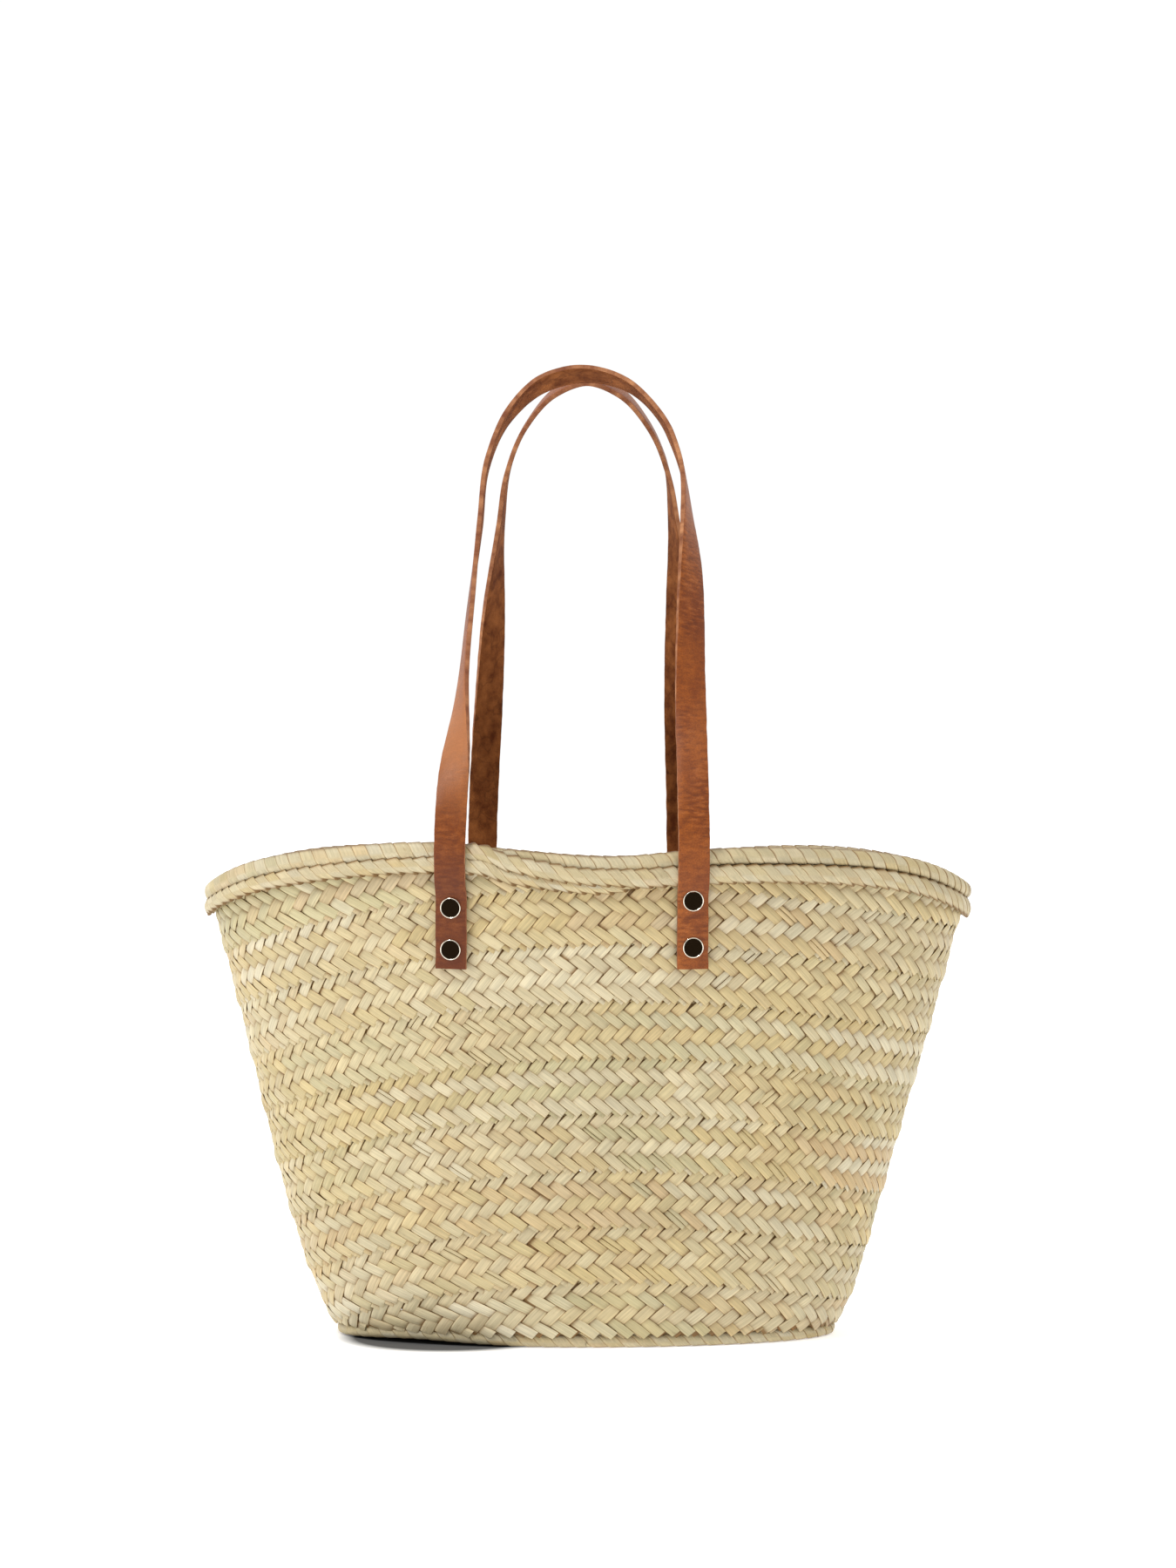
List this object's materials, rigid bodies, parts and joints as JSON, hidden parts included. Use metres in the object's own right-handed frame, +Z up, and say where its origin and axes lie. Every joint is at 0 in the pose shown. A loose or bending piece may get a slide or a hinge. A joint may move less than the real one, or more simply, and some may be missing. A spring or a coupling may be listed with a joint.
{
  "type": "woven market basket",
  "caption": "Oval tub basket of coiled and sewn palm-leaf plait with a roped rim and two riveted, twisted leather strap handles.",
  "frame": {"origin": "on the floor, under the middle of the basket", "axes": "+Z up, X along the long side of the oval, the front faces -Y, and front_strap_loop is on the -Y side"},
  "size_m": [0.4832, 0.2578, 0.6078],
  "materials": {
    "palm_plait": "dry woven palm leaf, satin",
    "palm_rope": "leaf-wrapped rope, satin",
    "strap_leather": "vegetable-tanned, grain side out, raw edges",
    "rivet_metal": "polished"
  },
  "bodies": {
    "basket": {"back_left_backing_patch": "strap_leather", "back_left_lower_rivet": "rivet_metal", "back_left_lower_rivet_back": "rivet_metal", "back_left_strap_end": "strap_leather", "back_left_upper_rivet": "rivet_metal", "back_left_upper_rivet_back": "rivet_metal", "back_right_backing_patch": "strap_leather", "back_right_lower_rivet": "rivet_metal", "back_right_lower_rivet_back": "rivet_metal", "back_right_strap_end": "strap_leather", "back_right_upper_rivet": "rivet_metal", "back_right_upper_rivet_back": "rivet_metal", "base_edge_cord": "palm_rope", "front_left_backing_patch": "strap_leather", "front_left_lower_rivet": "rivet_metal", "front_left_lower_rivet_back": "rivet_metal", "front_left_strap_end": "strap_leather", "front_left_upper_rivet": "rivet_metal", "front_left_upper_rivet_back": "rivet_metal", "front_right_backing_patch": "strap_leather", "front_right_lower_rivet": "rivet_metal", "front_right_lower_rivet_back": "rivet_metal", "front_right_strap_end": "strap_leather", "front_right_upper_rivet": "rivet_metal", "front_right_upper_rivet_back": "rivet_metal", "plait_turn_1": "palm_plait", "plait_turn_2": "palm_plait", "plait_turn_3": "palm_plait", "plait_turn_4": "palm_plait", "plait_turn_5": "palm_plait", "plait_turn_6": "palm_plait", "plait_turn_7": "palm_plait", "plait_turn_8": "palm_plait", "rim_rope_lower_turn": "palm_rope", "rim_rope_upper_turn": "palm_rope", "woven_base": "palm_plait"},
    "front_handle": {"front_strap_loop": "strap_leather"},
    "back_handle": {"back_strap_loop": "strap_leather"}
  },
  "joints": [
    {"name": "front_handle_swing", "type": "hinge", "parent": "basket", "child": "front_handle", "pos_m": [0, -0.1335, 0.301], "axis": [1, 0, 0], "range_deg": [0, 150]},
    {"name": "back_handle_swing", "type": "hinge", "parent": "basket", "child": "back_handle", "pos_m": [0, 0.1335, 0.301], "axis": [-1, 0, 0], "range_deg": [0, 150]}
  ]
}
